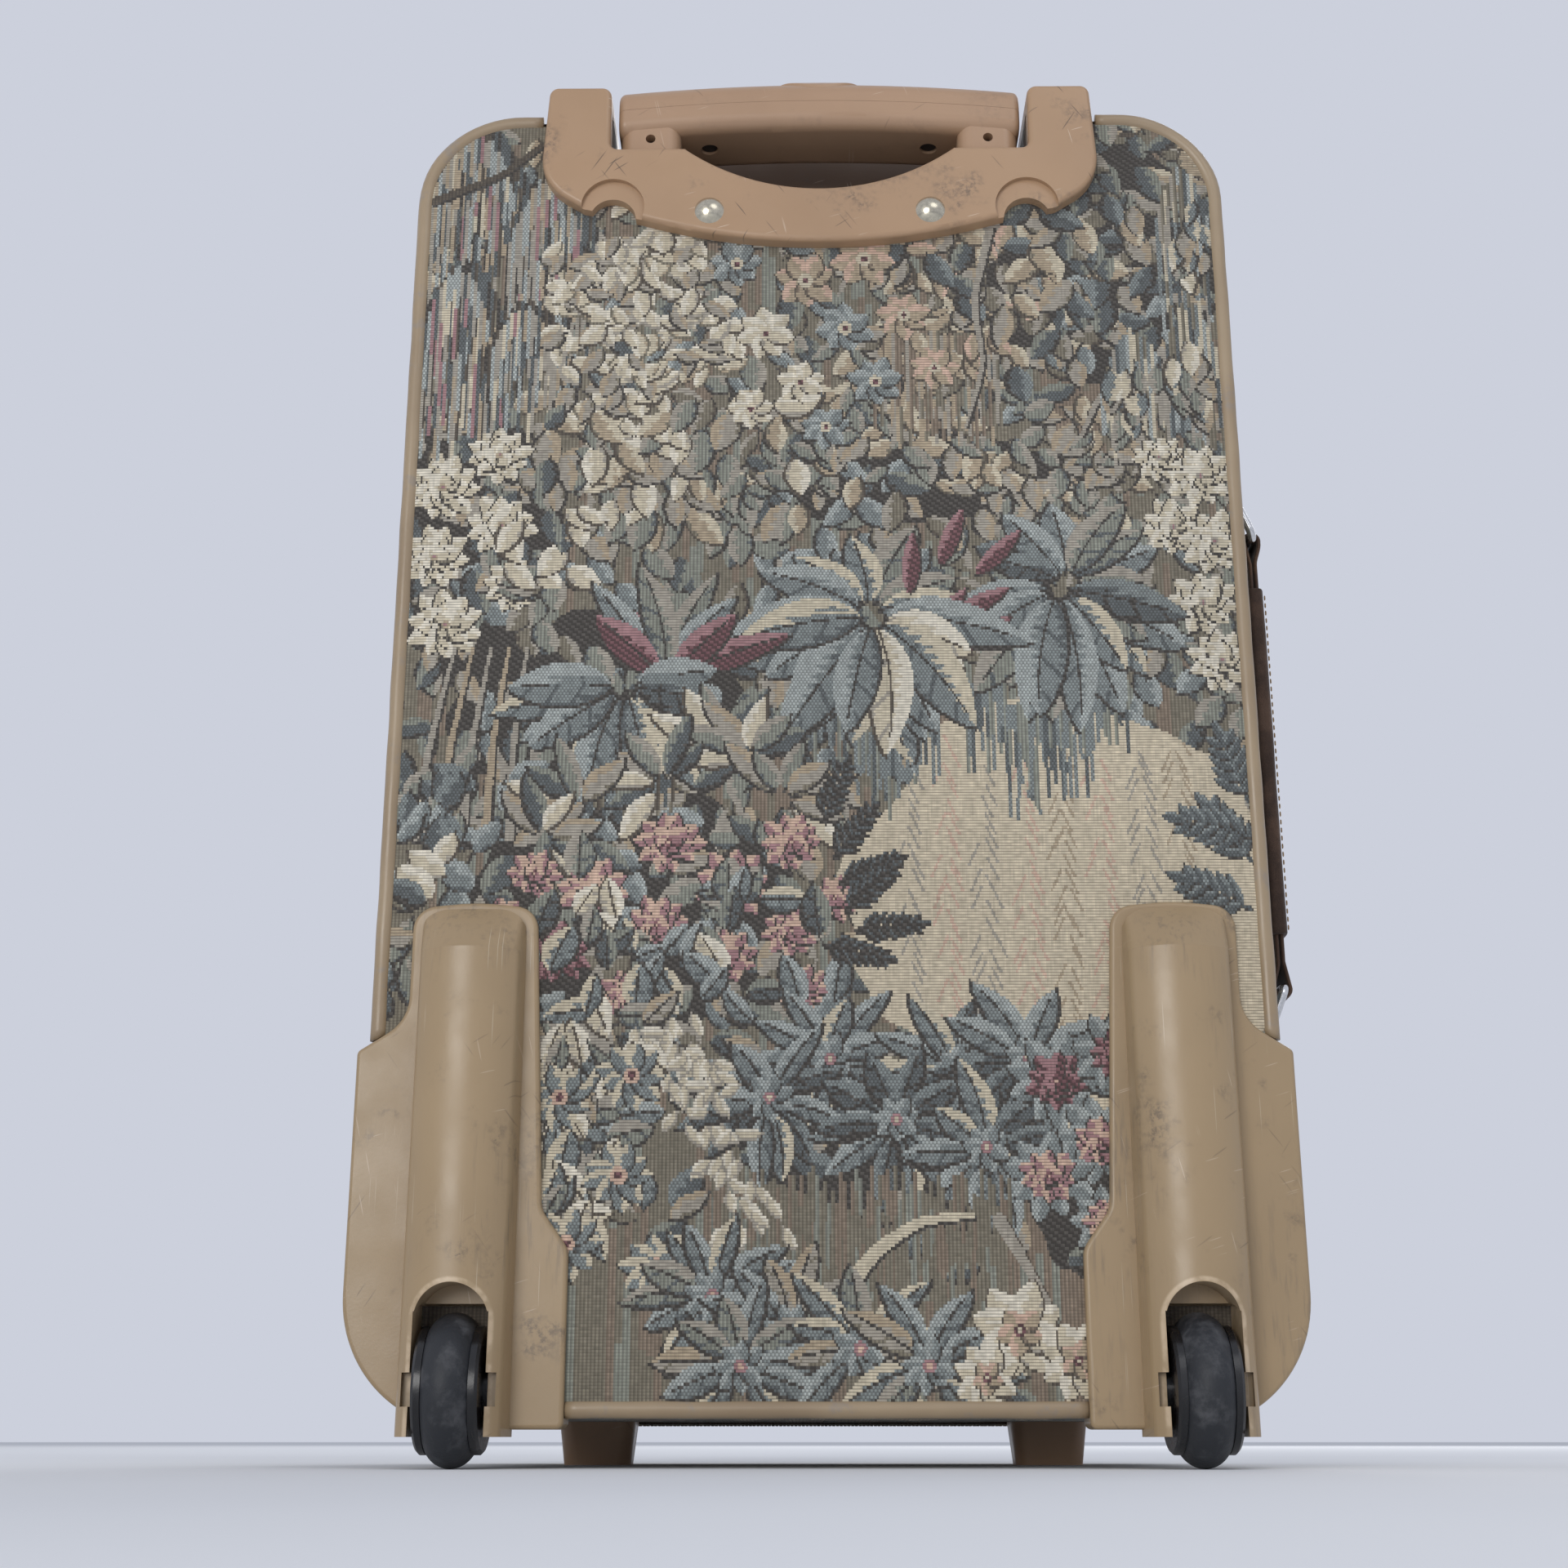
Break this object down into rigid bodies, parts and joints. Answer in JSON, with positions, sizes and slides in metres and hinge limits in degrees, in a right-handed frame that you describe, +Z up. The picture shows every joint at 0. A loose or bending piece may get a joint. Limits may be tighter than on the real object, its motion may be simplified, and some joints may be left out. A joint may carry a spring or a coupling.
{
  "type": "rolling suitcase",
  "caption": "Soft woven-cloth rolling suitcase with a telescopic grip, corner wheel housings, an opening lid and a leather side handle, standing on wheels and feet.",
  "frame": {"origin": "on the ground, under the middle of the standing case's bounding box", "axes": "+Z up from the wheels to the grip, +Y out of the lid's front, +X towards the side handle"},
  "size_m": [0.3634, 0.2444, 0.5592],
  "materials": {
    "woven_cloth": "ribbed weave",
    "piping_vinyl": "satin vinyl",
    "tan_plastic": "satin, worn",
    "dark_plastic": "matte",
    "tube_alloy": "satin",
    "bright_steel": "bright",
    "tyre_rubber": "matte, worn",
    "hub_plastic": "gloss",
    "zip_tape": "woven",
    "zip_metal": "bright",
    "brown_leather": "waxed",
    "brown_suede": "napped",
    "ring_chrome": "polished"
  },
  "bodies": {
    "case": {"back_panel": "woven_cloth", "body_wall": "woven_cloth", "rear_piping": "piping_vinyl", "handle_bezel": "tan_plastic", "bezel_rivets": "bright_steel", "handle_cup": "dark_plastic", "outer_tube_left": "tube_alloy", "outer_tube_right": "tube_alloy", "tube_bushes": "dark_plastic", "tube_base": "dark_plastic", "wheel_housing_left": "tan_plastic", "wheel_housing_right": "tan_plastic", "wheel_axle_left": "bright_steel", "wheel_axle_right": "bright_steel", "foot_left": "tan_plastic", "foot_right": "tan_plastic", "foot_screws": "bright_steel", "zip_tape_case": "zip_tape", "side_handle_strap": "brown_leather", "side_handle_sleeve": "brown_suede", "side_handle_rings": "ring_chrome", "side_handle_tabs": "brown_leather", "side_handle_rivets": "ring_chrome"},
    "lid": {"lid_wall": "woven_cloth", "front_panel": "woven_cloth", "front_piping": "piping_vinyl", "zip_tape_lid": "zip_tape", "front_pocket": "woven_cloth", "pocket_zip_tape": "zip_tape"},
    "handle": {"grip_upper": "tan_plastic", "grip_lower": "tan_plastic", "inner_tube_left": "tube_alloy", "inner_tube_right": "tube_alloy", "tube_guides": "dark_plastic", "grip_roll_pins": "bright_steel", "grip_screws": "bright_steel", "button_spring": "bright_steel"},
    "release": {"release_button": "tan_plastic", "release_yoke": "dark_plastic", "release_rod_left": "bright_steel", "release_rod_right": "bright_steel"},
    "lock_left": {"lock_pin_left": "bright_steel"},
    "lock_right": {"lock_pin_right": "bright_steel"},
    "wheel_left": {"tyre_left": "tyre_rubber", "wheel_hub_left": "hub_plastic", "wheel_bush_left": "dark_plastic"},
    "wheel_right": {"tyre_right": "tyre_rubber", "wheel_hub_right": "hub_plastic", "wheel_bush_right": "dark_plastic"},
    "slider_upper": {"zip_slider_upper": "zip_metal"},
    "pull_upper": {"zip_pull_upper": "zip_metal"},
    "slider_lower": {"zip_slider_lower": "zip_metal"},
    "pull_lower": {"zip_pull_lower": "zip_metal"},
    "slider_pocket": {"pocket_slider": "zip_metal"},
    "pull_pocket": {"pocket_pull": "zip_metal"}
  },
  "joints": [
    {"name": "handle_slide", "type": "slide", "parent": "case", "child": "handle", "axis": [0, 0, 1], "range_m": [0, 0.38]},
    {"name": "button_press", "type": "slide", "parent": "handle", "child": "release", "axis": [0, 0, -1], "range_m": [0, 0.003], "stiffness_N_per_m": 900, "springref_m": -0.004, "deforming": ["button_spring"]},
    {"name": "lock_left_slide", "type": "slide", "parent": "handle", "child": "lock_left", "axis": [1, 0, 0], "range_m": [0, 0.0024]},
    {"name": "lock_right_slide", "type": "slide", "parent": "handle", "child": "lock_right", "axis": [-1, 0, 0], "range_m": [0, 0.0024]},
    {"name": "wheel_left_spin", "type": "hinge", "parent": "case", "child": "wheel_left", "pos_m": [-0.1355, -0.09623, 0.026], "axis": [1, 0, 0], "continuous": true},
    {"name": "wheel_right_spin", "type": "hinge", "parent": "case", "child": "wheel_right", "pos_m": [0.1225, -0.09623, 0.026], "axis": [1, 0, 0], "continuous": true},
    {"name": "lid_hinge", "type": "hinge", "parent": "case", "child": "lid", "pos_m": [-0.17395, 0.06978, 0.27875], "axis": [0, 0, 1], "range_deg": [0, 150]},
    {"name": "zip_upper_slide", "type": "slide", "parent": "case", "child": "slider_upper", "axis": [0, 0, 1], "range_m": [0, 0.1]},
    {"name": "pull_upper_swing", "type": "hinge", "parent": "slider_upper", "child": "pull_upper", "pos_m": [0.1655, 0.06978, 0.38275], "axis": [0, -1, 0], "range_deg": [0, 110]},
    {"name": "zip_lower_slide", "type": "slide", "parent": "case", "child": "slider_lower", "axis": [0, 0, -1], "range_m": [0, 0.25]},
    {"name": "pull_lower_swing", "type": "hinge", "parent": "slider_lower", "child": "pull_lower", "pos_m": [0.1655, 0.06978, 0.33875], "axis": [0, -1, 0], "range_deg": [0, 110]},
    {"name": "zip_pocket_slide", "type": "slide", "parent": "lid", "child": "slider_pocket", "axis": [-1, 0, 0], "range_m": [0, 0.18]},
    {"name": "pull_pocket_swing", "type": "hinge", "parent": "slider_pocket", "child": "pull_pocket", "pos_m": [0.1015, 0.11987, 0.35975], "axis": [0, 0, -1], "range_deg": [0, 110]}
  ],
  "couplings": [
    {"joint": "lock_left_slide", "follows": "button_press", "ratio": 0.8},
    {"joint": "lock_right_slide", "follows": "button_press", "ratio": 0.8}
  ]
}
